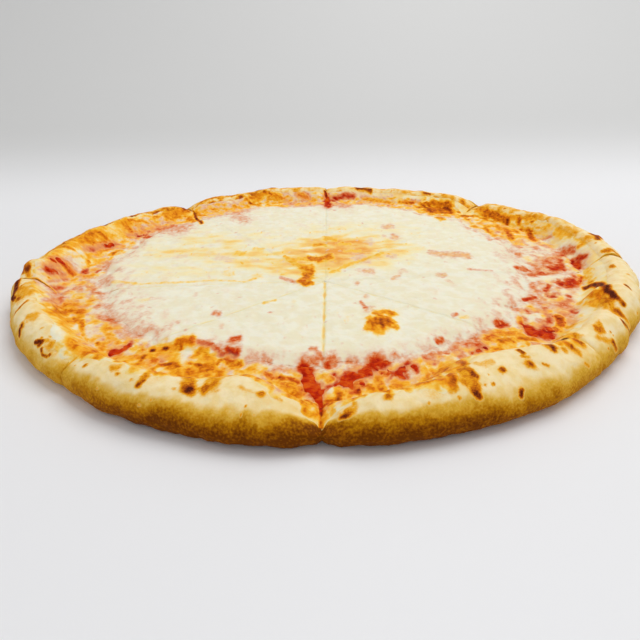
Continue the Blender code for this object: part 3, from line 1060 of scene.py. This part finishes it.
def crust_relief(piece, points, section):
    """Height of the rim's fine relief, and its maps: toast, and the golden band at its foot, which is
    baked colour with painted shade low down.
    """
    along = np.broadcast_to(piece.arc, section.shape)
    height = points[..., 2]
    rise, toast = specks(piece, points, section)
    marked, raised = marks_share(points, TOAST, TOAST_SEED, BARE_TOAST_HALO)
    toast = np.maximum(toast, marked)
    rise = rise + raised
    inside = inside_toppings(points[..., 0], points[..., 1])
    stain = (0.12 + 0.10 * ripples(along, section, 7, 29)) * np.exp(-((inside / 5) ** 2))
    toast = np.maximum(toast, stain * rising(height, 9, 12))
    gold = known_at(CREST_GOLD, piece.angle) * (0.75 + 0.7 * rough(along, section, 6, 45, 4))
    toast = np.maximum(toast, gold * rising(section, -9, -1))
    # The band is the crust's own browning, darkened further as painted shade lowest down and at the
    # front.
    tall = BAND_AND_SHADE_TOP + 1.6 * ripples(along, section * 0.3, 19, 41) + 1.2 * rough(along, section, 5, 43)
    low = 1 - rising(height, tall - 11.0, tall + 2.0)
    outside = rising(-section, 3.0, 9.0)
    strength = known_at(BAND_AND_SHADE_STRENGTH, piece.angle)
    band_and_shade = low * outside * np.clip(strength + 0.09 * rough(along, section, 9, 42), 0, 1)
    relief = 0.42 * rough(along, section, 12, 20) + 0.14 * ripples(along, section, 4.2, 25)
    relief = relief + 0.12 * band_and_shade * rough(along, section, 2.2, 26, 2)
    relief = relief + 0.55 * band_and_shade * ripples(along, 0 * section, 6.5, 27) * (1 - rising(height, 0, 5))
    creases = np.abs(ripples(along, section * 0.6, 9, 28))
    relief = relief - 0.30 * (1 - rising(creases, 0, 0.10)) * rising(-section, 2, 6) * (1 - band_and_shade)
    return relief + rise, toast, band_and_shade


def beside_cuts(piece, points, width):
    """For each of the slice's two cuts its looks, and how close to it each point lies, 0 to 1."""
    for name, away in zip(piece.cuts, piece.from_cuts(points)):
        yield CUT_LOOKS[name], np.exp(-((away / width) ** 2))


def cut_grooves(piece, points, width, share=1.0):
    """How far the surface sinks beside the slice's two cuts."""
    return sum(share * deep * near for (_, deep, _), near in beside_cuts(piece, points, width))


def browned_cuts(piece, points):
    """How brown the rim is beside the slice's two cuts."""
    first, second = beside_cuts(piece, points, BROWN_CUT_WIDTH)
    return np.maximum(first[0][2] * first[1], second[0][2] * second[1])


def displaced(piece, grid, normal, relief):
    """The grid moved along its normals, but not across the slice's two cuts."""
    move = normal * relief[..., None]
    for cut, away in zip((0, -1), piece.from_cuts(grid)):
        across = unit(piece.column_angle[cut] + 90)
        held = np.exp(-np.abs(away) / 1.5)[..., None]
        sideways = (move[..., :2] @ across)[..., None] * across
        move[..., :2] -= held * sideways
    return grid + move


def mesh_piece(name, points, faces, material, maps=None, sharp=SHARP_ANGLE):
    """An object in metres that rides on the pizza's body, with its maps as point attributes."""
    mesh = bpy.data.meshes.new(name)
    mesh.from_pydata(np.asarray(points) * MM, [], faces)
    mesh.update()
    mesh.shade_smooth()
    mesh.set_sharp_from_angle(angle=math.radians(sharp))
    mesh.materials.append(material)
    for label, values in (maps or {}).items():
        layer = mesh.attributes.new(label, "FLOAT", "POINT")
        layer.data.foreach_set("value", np.asarray(values, np.float32))
    made = bpy.data.objects.new(name, mesh)
    bpy.context.collection.objects.link(made)
    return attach(made, "root")


def strip_faces(outer, inner):
    """Faces between two rows of point numbers, where the inner may have half as many gaps."""
    if len(outer) == len(inner):
        return [
            (outer[i], outer[i + 1], inner[i + 1], inner[i]) for i in range(len(outer) - 1)
        ]
    faces = []
    for i in range(len(inner) - 1):
        a, b, c = outer[2 * i], outer[2 * i + 1], outer[2 * i + 2]
        faces += [(a, b, inner[i]), (b, inner[i + 1], inner[i]), (b, c, inner[i + 1])]
    return faces


def closed_wedge(bottom_rows, top_rows, bottom_tip, top_tip):
    """Points and faces of a slice's layer. Rows run from the outer edge inwards."""
    rows = list(reversed(bottom_rows)) + list(top_rows)
    starts = np.cumsum([0] + [len(row) for row in rows])
    points = np.concatenate([*rows, [bottom_tip], [top_tip]])
    low_tip, high_tip = starts[-1], starts[-1] + 1
    numbers = [list(range(starts[i], starts[i + 1])) for i in range(len(rows))]
    faces = []
    for outer, inner in zip(numbers, numbers[1:]):
        faces += strip_faces(outer, inner)
    faces += [(a, b, high_tip) for a, b in zip(numbers[-1], numbers[-1][1:])]
    faces += [(b, a, low_tip) for a, b in zip(numbers[0], numbers[0][1:])]
    first_wall = [low_tip] + [row[0] for row in numbers] + [high_tip]
    second_wall = [low_tip] + [row[-1] for row in numbers] + [high_tip]
    faces += [tuple(first_wall), tuple(reversed(second_wall))]
    return points, faces


def open_sheet(grid, keep):
    """Points and faces of the part of a grid whose points are kept, and which points those are."""
    rows, columns = keep.shape
    numbers = np.arange(rows * columns).reshape(rows, columns)
    corners = np.stack([numbers[:-1, :-1], numbers[:-1, 1:], numbers[1:, 1:], numbers[1:, :-1]], -1)
    kept = keep[:-1, :-1] | keep[:-1, 1:] | keep[1:, 1:] | keep[1:, :-1]
    faces = corners[kept]
    used, faces = np.unique(faces, return_inverse=True)
    return grid.reshape(-1, 3)[used], faces.reshape(-1, 4).tolist(), used


def add_crust(piece, material):
    arcs = np.arange(-90, 90, ARC_STEP)
    shares = np.arange(0, SAUCE_CLIMB + 0.25, SLOPE_STEP)
    grid, section = crust_surface(piece, arcs, shares)
    relief, toast, band_and_shade = crust_relief(piece, grid, section)
    relief = relief - cut_grooves(piece, grid, RIM_GROOVE_WIDTH, 1.8)
    band_and_shade = np.maximum(band_and_shade, 1.3 * browned_cuts(piece, grid))
    relief[0] = 0
    seen = displaced(piece, grid, outward(grid), relief)
    seen[..., 2] = np.maximum(seen[..., 2], 0)
    seen[0, :, 2] = 0
    hidden, _ = crust_surface(piece, (), np.linspace(shares[-1], 1, 5)[1:])
    rows = list(seen) + list(hidden)
    tail = np.zeros(len(hidden) * len(piece.arc) + 2)
    points, faces = closed_wedge([], rows, piece.tip(0), piece.tip(BASE_THICKNESS))
    maps = {
        "toast": np.concatenate([toast.ravel(), tail]),
        "band_and_shade": np.concatenate([band_and_shade.ravel(), tail]),
    }
    made = mesh_piece(f"crust_{piece.number}_skin", points, faces, material, maps)
    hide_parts(f"crust_{piece.number}")


def faded(x, y, beyond):
    """How thin the cheese is this far beyond its edge: it lets the sauce shine through."""
    reach = known_around(THIN_REACH, x, y)
    near = np.exp(-((beyond / np.where(beyond < 0, reach, 9.0)) ** 2))
    blotches = rising(rough(x, 0.6 * y, 4.6, 70, 4), -0.7, 1.0)
    return near * (0.08 + 0.26 * blotches)


def cheese_cover(points, edge_distance):
    """Thickness of the cheese over the sauce, and its maps: thinness, which in pits also holds
    painted shade, toast and grease.
    """
    x, y = points[..., 0], points[..., 1]
    inside = rising(edge_distance, -1.0, 9.0)
    plain = CHEESE_EDGE_COVER + (LAYER_GAP + CHEESE_THICKNESS - CHEESE_EDGE_COVER) * inside
    surface = uneven(CHEESE_TOP_WAVES, x, y) * inside
    for lump_x, lump_y, lump_height, spread in CHEESE_LUMPS:
        away = np.hypot(x - lump_x, y - lump_y)
        surface = surface + inside * lump_height * np.exp(-((away / spread) ** 2))
    surface = surface + 0.22 * ripples(x, y, 7.5, 60) + 0.12 * rough(x, y, 3.6, 61, 2)

    # Pits dip the cheese and tint it pink: partly thinner cheese over the sauce, partly painted shade
    # in the dimples.
    pits_with_shade = rising(rough(x * 0.8, y, 5.0, 80, 2), 0.75, 1.25)
    thin = np.maximum(faded(x, y, -edge_distance), 0.3 * pits_with_shade)
    surface = surface - 0.35 * pits_with_shade

    red, _ = marks_share(points, RED, RED_SEED, RED_HALO)
    thin = np.maximum(thin, red)
    toast, raised = marks_share(points, TOAST, TOAST_SEED, TOAST_HALO)
    surface = surface + raised
    pale, _ = marks_share(points, PALE, PALE_SEED, PALE_HALO)
    thin = thin * (1 - 0.6 * pale)
    grease = np.zeros_like(x)
    streaky = 0.75 + 0.45 * rough(x * 0.6, y, 8.0, 90, 3)
    for haze_x, haze_y, length, size, strength in GOLDEN_HAZE:
        away = np.hypot((x - haze_x) / length, (y - haze_y) / size)
        grease = np.maximum(grease, strength * streaky * np.exp(-(away**2)))
    fine = rising(rough(x, 0.5 * y, 3.4, 86, 3), 0.45, 1.15)
    toast = np.maximum(toast, 0.16 * fine * (0.5 + 3 * grease))
    thin = np.maximum(thin, 0.20 * rising(rough(x, 0.5 * y, 3.8, 88, 3), 0.5, 1.2))
    veil = rising(rough(0.7 * x, 0.35 * y, 6.0, 89, 4), -0.2, 0.9)
    thin = np.maximum(thin, 0.14 * veil * rising(0.7 * y - x, -60, 70))
    return plain + surface, thin, toast, grease


def oil_of_cuts(piece, points):
    """Oil that stands in the cuts, thinner and broken towards the outside."""
    x, y = points[..., 0], points[..., 1]
    broken = 0.75 + 0.35 * ripples(x, y, 7, 95)
    width = 1.1 + 0.5 * ripples(x, y, 5, 96)
    oil = np.zeros(points.shape[:-1])
    for (oily, _, _), near in beside_cuts(piece, points, width):
        oil = np.maximum(oil, oily * broken * near)
    return oil


def add_cheese(piece, material):
    floor = BASE_THICKNESS + SAUCE_THICKNESS + LAYER_GAP
    rows, maps = [], {"thin": [], "toast": [], "grease": []}
    distance = 1.0
    stride = 1
    while distance > 0.02:
        reach = piece.cheese * distance
        row = piece.place(reach, floor)[::stride]
        edge_distance = (piece.cheese * (1 - distance))[::stride]
        cover, thin, toast, grease = cheese_cover(row, edge_distance)
        oil = oil_of_cuts(piece, row)
        groove = cut_grooves(piece, row, CUT_GROOVE_WIDTH)
        row[:, 2] += np.maximum(cover - groove, LEAST_COVER)
        rows.append(row)
        maps["thin"].append(thin)
        maps["toast"].append(toast)
        maps["grease"].append(np.maximum(grease, oil))
        distance -= POINT_SPACING / piece.cheese.mean()
        if distance < 0.5 / stride and stride < 8:
            stride *= 2
    bottom = [piece.place(piece.cheese, floor - SUNK)]
    middle = rows[-1][:, 2].mean()
    points, faces = closed_wedge(bottom, rows, piece.tip(floor - SUNK), piece.tip(middle))
    for label in maps:
        head = maps[label][0]
        tail = [0.0, maps[label][-1].mean()]
        maps[label] = np.concatenate([head, *maps[label], tail])
    made = mesh_piece(f"cheese_{piece.number}_skin", points, faces, material, maps)
    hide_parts(f"cheese_{piece.number}")


def add_sauce(piece, material):
    shares = np.arange(SAUCE_CLIMB - 0.05, 1, 0.045)
    slope, _ = crust_surface(piece, (), shares)
    lift = topping_lift(shares)[:, None]
    ring = ring_surface(piece, np.linspace(0, 1, RING_STEPS), 8.0)
    slope[..., 2] += np.broadcast_to(lift, slope.shape[:2])
    grid = np.concatenate([slope, ring])
    x, y = grid[..., 0], grid[..., 1]
    relief = 0.12 * rough(x, y, 5.0, 110, 3) - 0.12
    relief = relief - cut_grooves(piece, grid, SAUCE_GROOVE_WIDTH, 1.2)
    relief = relief - 0.3 * (1 - rising(np.arange(len(relief)), len(shares), len(relief)))[:, None]
    relief[0] = -1.2
    seen = displaced(piece, grid, outward(grid), relief)
    floor = BASE_THICKNESS + 0.05
    inner = [piece.place(piece.cheese * share, seen[-1, :, 2].mean()) for share in (0.6, 0.2)]
    rows = list(seen) + inner
    bottom, _ = crust_surface(piece, (), (SAUCE_CLIMB, 0.75, 1.0))
    bottom[..., 2] -= SUNK
    points, faces = closed_wedge(list(bottom), rows, piece.tip(floor), piece.tip(inner[-1][0, 2]))
    made = mesh_piece(f"sauce_{piece.number}_skin", points, faces, material)
    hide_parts(f"sauce_{piece.number}")


def topping_host(piece, arcs, shares, ring_shares):
    """Grid over the rim's crest, its inner slope and the sauce ring, as the toppings cover them."""
    grid, section = crust_surface(piece, arcs, shares)
    lift = np.concatenate([np.zeros(len(arcs)), topping_lift(shares)])
    bare, _, _ = crust_relief(piece, grid, section)
    on_crust = 1 - rising(lift, 0, 0.6)
    relief = bare * on_crust[:, None] + lift[:, None]
    relief = relief - cut_grooves(piece, grid, RIM_GROOVE_WIDTH, 1.4)
    rim = displaced(piece, grid, outward(grid), relief)
    ring = ring_surface(piece, ring_shares, 3.0)
    plain = grid.copy()
    plain[..., 2] += lift[:, None]
    return np.concatenate([rim, ring]), np.concatenate([plain, ring])


def add_toppings(piece, cheese, sauce):
    """Melted cheese over the sauce and up the rim, browned, with sauce where it has parted."""
    arcs = np.arange(14, 90, ARC_STEP)
    shares = np.arange(0, 1, SLOPE_STEP)
    host, plain = topping_host(piece, arcs, shares, np.linspace(0, 1, RING_STEPS)[1:])
    x, y = host[..., 0], host[..., 1]
    normal = outward(host)
    inside = inside_toppings(x, y)
    sauce_edge = piece.reach - piece.crest_inset - SAUCE_CLIMB * (piece.width - piece.crest_inset)
    away = np.hypot(x - CUT_CENTRE[0], y - CUT_CENTRE[1])
    past_sauce = sauce_edge + 2.0 - away
    cheese_edge = CUT_CENTRE + piece.cheese[:, None] * unit(piece.column_angle)
    beyond = np.hypot(x, y) - np.hypot(*cheese_edge.T)
    cover = rising(np.maximum(inside, past_sauce), -2.0, 6.0)
    topped = rising(inside, -1.0, 2.5)

    toast, raised = marks_share(plain, TOAST, TOAST_SEED, TOAST_HALO)
    red, _ = marks_share(plain, RED, RED_SEED, RED_HALO)
    pale, _ = marks_share(plain, PALE, PALE_SEED, PALE_HALO)
    gold = known_around(RING_GOLD, x, y)
    gold = np.clip(gold + 0.4 * rough(x, y, 14.0, 149, 2), 0, 1)
    mottle = rough(x, 0.7 * y + 1.6 * host[..., 2], 4.4, 150, 4)
    browned = (0.08 + 0.25 * gold + (0.08 + 0.24 * gold) * mottle) * rising(beyond, -1, 8)
    browned = np.maximum(browned * topped, 0.13 * (1 - topped))
    toast = np.maximum(toast, browned * (1 - 0.7 * red)) * (1 - 0.65 * pale)
    toast = np.maximum(toast, browned_cuts(piece, host) * rising(host[..., 2], 6.5, 7.5))
    reddish = rising(rough(x, 0.7 * y + 1.6 * host[..., 2], 5.4, 151, 4), -0.7, 0.9)
    thin = (0.16 + 0.42 * reddish) * (1.15 - 0.6 * gold) * rising(beyond, -3, 5)
    thin = thin * rising(inside, 0, 7)
    thin = np.maximum(np.maximum(thin, faded(x, y, beyond)), red) * (1 - 0.6 * pale)
    grease = rising(beyond, 2, 12) * (0.34 + 0.25 * rough(x, y, 8, 160, 2)) * (1 - 0.7 * pale)

    bubbles = np.maximum(ripples(x, y, 5.5, 140), 0) ** 1.5
    thickness = FILM_THICKNESS + FILM_BUBBLES * bubbles + FILM_UNEVEN * rough(x, y, 3.6, 145, 3)
    thickness = thickness + FILM_PALE_RISE * pale + raised
    thickness = np.maximum(thickness - 0.5 * red, FILM_LEAST)
    thickness = FILM_ROOT + (thickness - FILM_ROOT) * cover
    sheet = displaced(piece, host, normal, thickness)
    points, faces, used = open_sheet(sheet, thickness > 0.8 * FILM_ROOT)
    maps = {"thin": thin, "toast": toast, "grease": grease}
    maps = {label: np.clip(values, 0, 1).ravel()[used] for label, values in maps.items()}
    film = mesh_piece(f"cheese_{piece.number}_film", points, faces, cheese, maps, NO_CREASES)

    pooled = thin * rising(cover, 0.5, 1.0) - 0.80
    wet = thickness + np.clip(1.6 * pooled, -0.5, 0.25) + 0.06 * rough(x, y, 3.0, 155, 2)
    sheet = displaced(piece, host, normal, wet)
    points, faces, used = open_sheet(sheet, pooled > -0.12)
    if faces:
        smear = mesh_piece(f"sauce_{piece.number}_smear", points, faces, sauce, {}, NO_CREASES)


# ---- Materials ----
def colour(red, green, blue):
    """A colour given as it shows on a screen, 0 to 255, in the renderer's linear values."""
    shown = np.array([red, green, blue]) / 255
    linear = np.where(shown <= 0.04045, shown / 12.92, ((shown + 0.055) / 1.055) ** 2.4)
    return (*linear.tolist(), 1.0)


class Paint:
    """Builds one material's nodes."""

    def __init__(self, name):
        self.material = bpy.data.materials.new(name)
        self.material.use_nodes = True
        self.tree = self.material.node_tree
        self.shader = self.tree.nodes["Principled BSDF"]
        place = self.tree.nodes.new("ShaderNodeTexCoord")
        self.place = place.outputs["Object"]

    def link(self, source, socket):
        if isinstance(source, (int, float, tuple)):
            socket.default_value = source
        else:
            self.tree.links.new(source, socket)

    def node(self, kind, **inputs):
        made = self.tree.nodes.new("ShaderNode" + kind)
        for label, value in inputs.items():
            self.link(value, made.inputs[label.replace("_", " ")])
        return made

    def map(self, label):
        """One of the mesh's maps."""
        made = self.node("Attribute")
        made.attribute_name = label
        return made.outputs["Fac"]

    def noise(self, size, detail=2.0, distortion=0.0):
        """Noise from 0 to 1 whose waves are about size millimetres apart."""
        made = self.node("TexNoise", Scale=1 / (size * MM), Detail=detail, Distortion=distortion,
                         Vector=self.place)
        return made.outputs["Fac"]

    def math(self, operation, first, second, clamp=False):
        made = self.node("Math")
        made.operation = operation
        made.use_clamp = clamp
        self.link(first, made.inputs[0])
        self.link(second, made.inputs[1])
        return made.outputs[0]

    def times(self, first, second):
        return self.math("MULTIPLY", first, second)

    def uneven(self, label, noise, depth):
        """A map with noise on it, which grows with the map and with depth."""
        value = self.map(label)
        noise = self.math("SUBTRACT", noise, 0.5)
        return self.math("ADD", value, self.times(noise, self.times(value, depth)))

    def between(self, value, low, high, start=0.0, end=1.0):
        """start where value is low, end where it is high, smooth between and flat outside."""
        made = self.node("MapRange", Value=value, From_Min=low, From_Max=high, To_Min=start,
                         To_Max=end)
        made.interpolation_type = "SMOOTHSTEP"
        return made.outputs["Result"]

    def ramp(self, value, *stops):
        """Colour that runs through stops, each a position and a colour as it shows on a screen."""
        made = self.node("ValToRGB", Fac=value)
        ramp = made.color_ramp
        while len(ramp.elements) < len(stops):
            ramp.elements.new(1.0)
        for element, (position, *shade) in zip(ramp.elements, stops):
            element.position = position
            element.color = colour(*shade)
        return made.outputs["Color"]

    def mix(self, share, first, second):
        made = self.node("Mix")
        made.data_type = "RGBA"
        for place, value in ((0, share), (6, first), (7, second)):
            self.link(value, made.inputs[place])
        return made.outputs[2]

    def bump(self, value, depth, below=None):
        """A bump of depth millimetres."""
        made = self.node("Bump", Distance=depth * MM, Height=value)
        if below is not None:
            self.link(below, made.inputs["Normal"])
        return made.outputs["Normal"]

    def set(self, **inputs):
        for label, value in inputs.items():
            self.link(value, self.shader.inputs[label.replace("_", " ")])


def crust_material():
    paint = Paint("baked_crust")
    mottle = paint.noise(5.0, 3.0)
    fine = paint.noise(0.8, 2.0)
    grit = paint.noise(1.0, 2.0)
    toast = paint.times(paint.map("toast"), paint.between(fine, 0.2, 0.8, 0.8, 1.2))
    dough = paint.mix(paint.between(mottle, 0.35, 0.7), colour(250, 230, 184), colour(243, 215, 150))
    grain = paint.math("ADD", paint.times(mottle, 0.35), paint.times(grit, 0.85))
    band_and_shade = paint.times(paint.map("band_and_shade"), paint.between(grain, 0.35, 0.85, 0.74, 1.24))
    # The band's colours run from golden to dark brown: baked colour, with painted shade in the
    # darkest part.
    band_colour_with_shade = paint.ramp(
        band_and_shade,
        (0.02, 246, 220, 158),
        (0.12, 238, 198, 106),
        (0.28, 224, 172, 54),
        (0.50, 194, 130, 6),
        (0.76, 150, 86, 2),
        (1.00, 112, 56, 0),
    )
    base = paint.mix(paint.between(paint.map("band_and_shade"), 0.0, 0.22), dough, band_colour_with_shade)
    toast = paint.math("SUBTRACT", toast, paint.times(paint.map("band_and_shade"), 0.35), True)
    toasted = paint.ramp(
        toast,
        (0.05, 246, 218, 154),
        (0.20, 243, 194, 98),
        (0.36, 238, 164, 24),
        (0.52, 210, 118, 8),
        (0.70, 156, 68, 8),
        (0.95, 84, 28, 10),
    )
    base = paint.mix(paint.between(toast, 0.02, 0.32), base, toasted)
    normal = paint.bump(fine, 0.16)
    normal = paint.bump(paint.noise(2.2, 3.0), 0.25, normal)
    paint.set(Base_Color=base, Roughness=0.68, Normal=normal, Subsurface_Weight=0.12,
              Subsurface_Scale=0.003, Subsurface_Radius=(1.0, 0.6, 0.3), Specular_IOR_Level=0.05)
    return paint.material


def sauce_material():
    paint = Paint("tomato_sauce")
    mottle = paint.noise(4.0, 3.0, 0.5)
    fine = paint.noise(1.0, 2.0)
    base = paint.ramp(
        mottle,
        (0.28, 150, 16, 2),
        (0.48, 198, 46, 6),
        (0.70, 226, 98, 16),
    )
    normal = paint.bump(fine, 0.3)
    paint.set(Base_Color=base, Roughness=0.30, Normal=normal, Subsurface_Weight=0.10,
              Subsurface_Scale=0.003, Subsurface_Radius=(1.0, 0.25, 0.1), Specular_IOR_Level=0.01)
    return paint.material


def cheese_material():
    paint = Paint("melted_cheese")
    mottle = paint.noise(6.0, 3.0, 0.4)
    fine = paint.noise(1.8, 4.0, 0.6)
    thin = paint.uneven("thin", fine, 1.5)
    toast = paint.uneven("toast", fine, 1.0)
    cream = paint.mix(paint.between(mottle, 0.35, 0.65), colour(243, 238, 216), colour(239, 230, 199))
    greasy = paint.ramp(
        paint.map("grease"),
        (0.00, 246, 240, 204),
        (0.28, 250, 228, 156),
        (0.50, 250, 206, 118),
        (0.85, 242, 162, 64),
    )
    base = paint.mix(paint.between(paint.map("grease"), 0.05, 0.5), cream, greasy)
    pink = paint.ramp(
        thin,
        (0.08, 240, 222, 196),
        (0.26, 232, 194, 166),
        (0.45, 226, 138, 84),
        (0.65, 210, 78, 16),
        (0.82, 198, 50, 8),
        (1.00, 166, 24, 2),
    )
    base = paint.mix(paint.between(thin, 0.02, 0.30), base, pink)
    toasted = paint.ramp(
        toast,
        (0.06, 250, 226, 156),
        (0.20, 252, 204, 84),
        (0.36, 246, 168, 30),
        (0.52, 220, 120, 8),
        (0.74, 158, 66, 8),
        (1.00, 80, 28, 10),
    )
    scorched = paint.ramp(
        toast,
        (0.10, 246, 196, 140),
        (0.30, 238, 142, 58),
        (0.50, 210, 80, 14),
        (0.74, 150, 38, 4),
        (1.00, 74, 14, 4),
    )
    toasted = paint.mix(paint.between(thin, 0.15, 0.75), toasted, scorched)
    base = paint.mix(paint.between(toast, 0.03, 0.28), base, toasted)
    normal = paint.bump(paint.noise(2.6, 3.0), 0.3)
    paint.set(Base_Color=base, Roughness=paint.between(paint.map("grease"), 0.0, 0.8, 0.46, 0.30),
              Normal=normal, Subsurface_Weight=0.20, Subsurface_Scale=0.004,
              Subsurface_Radius=(1.0, 0.7, 0.4), Specular_IOR_Level=0.02)
    return paint.material


# ---- Scene ----
# The floor's colour under the pizza and behind it, darker behind as painted shade, and between what
# distances it changes, in metres.
FLOOR_NEAR = (0.855, 0.855, 0.87, 1.0)
FLOOR_FAR_PAINTED_SHADE = (0.615, 0.615, 0.61, 1.0)
FLOOR_SHADE_FADE = (0.16, 0.50)
ROOM_LIGHT = 0.64


def add_camera():
    data = bpy.data.cameras.new("camera")
    data.lens = CAMERA_LENS
    data.sensor_width = CAMERA_SENSOR
    data.clip_start = 0.01
    camera = bpy.data.objects.new("camera", data)
    camera.matrix_world = Matrix.Translation(CAMERA_PLACE) @ camera_turn().to_4x4()
    bpy.context.collection.objects.link(camera)
    bpy.context.scene.camera = camera


def add_floor():
    """A pale floor that curves up into a pale wall far behind, with painted shade that darkens it
    further back.
    """
    width, front, bend, radius, top, steps = 16.0, -8.0, 0.32, 1.0, 4.0, 16
    profile = [(front, 0.0)]
    for step in range(steps + 1):
        turn = math.radians(90 * step / steps)
        profile.append((bend + radius * math.sin(turn), radius * (1 - math.cos(turn))))
    profile.append((bend + radius, top))
    points = [(side * width / 2, y, z) for y, z in profile for side in (-1, 1)]
    faces = [(2 * i, 2 * i + 1, 2 * i + 3, 2 * i + 2) for i in range(len(profile) - 1)]
    mesh = bpy.data.meshes.new("floor")
    mesh.from_pydata(points, [], faces)
    mesh.shade_smooth()
    paint = Paint("pale_floor_painted_shade")
    split = paint.tree.nodes.new("ShaderNodeSeparateXYZ")
    paint.link(paint.place, split.inputs[0])
    # Painted shade: the floor and wall turn darker further back.
    far = paint.between(split.outputs["Y"], *FLOOR_SHADE_FADE)
    shade = paint.mix(far, FLOOR_NEAR, FLOOR_FAR_PAINTED_SHADE)
    paint.set(Base_Color=shade, Roughness=0.55)
    mesh.materials.append(paint.material)
    floor = bpy.data.objects.new("floor", mesh)
    bpy.context.collection.objects.link(floor)


def add_light(name, place, target, size, power):
    data = bpy.data.lights.new(name, "AREA")
    data.shape = "RECTANGLE"
    data.size, data.size_y = size
    data.energy = power
    light = bpy.data.objects.new(name, data)
    light.location = place
    light.rotation_euler = (Vector(target) - Vector(place)).to_track_quat("-Z", "Y").to_euler()
    bpy.context.collection.objects.link(light)


def add_lights():
    add_light("softbox_above", (0.45, 0.45, 1.5), (0, 0, 0), (1.4, 1.2), 14)
    world = bpy.data.worlds.new("studio")
    world.use_nodes = True
    background = world.node_tree.nodes["Background"]
    background.inputs["Color"].default_value = (1.0, 1.0, 1.0, 1.0)
    background.inputs["Strength"].default_value = ROOM_LIGHT
    bpy.context.scene.world = world
    bpy.context.scene.view_settings.view_transform = "Standard"


TOAST = marks_on_solids(TOAST_TRACED, TOAST_WIDENED)
TOAST += marks_on_solids(FAINT_TRACED, TOAST_WIDENED, FAINT_SHARE, FAINT_BROADER)
TOAST += marks_on_solids(FAINT_LEFT_TRACED, TOAST_WIDENED, FAINT_LEFT_SHARE, FAINT_BROADER)
TOAST += marks_on_solids(FLECKS_TRACED, TOAST_WIDENED, FLECK_TOAST, FLECK_BROADER, FLECK_LEAST)
RED = marks_on_solids(RED_TRACED, RED_WIDENED)
RED += marks_on_solids(FLECKS_TRACED, RED_WIDENED, FLECK_RED, FLECK_BROADER, FLECK_LEAST)
PALE = marks_on_solids(PALE_TRACED, TOAST_WIDENED)
add_camera()
add_floor()
add_lights()
crust = crust_material()
sauce = sauce_material()
cheese = cheese_material()
for number, sizes in enumerate(SLICES, start=1):
    piece = Slice(number, *sizes)
    add_crust(piece, crust)
    add_sauce(piece, sauce)
    add_cheese(piece, cheese)
    add_toppings(piece, cheese, sauce)
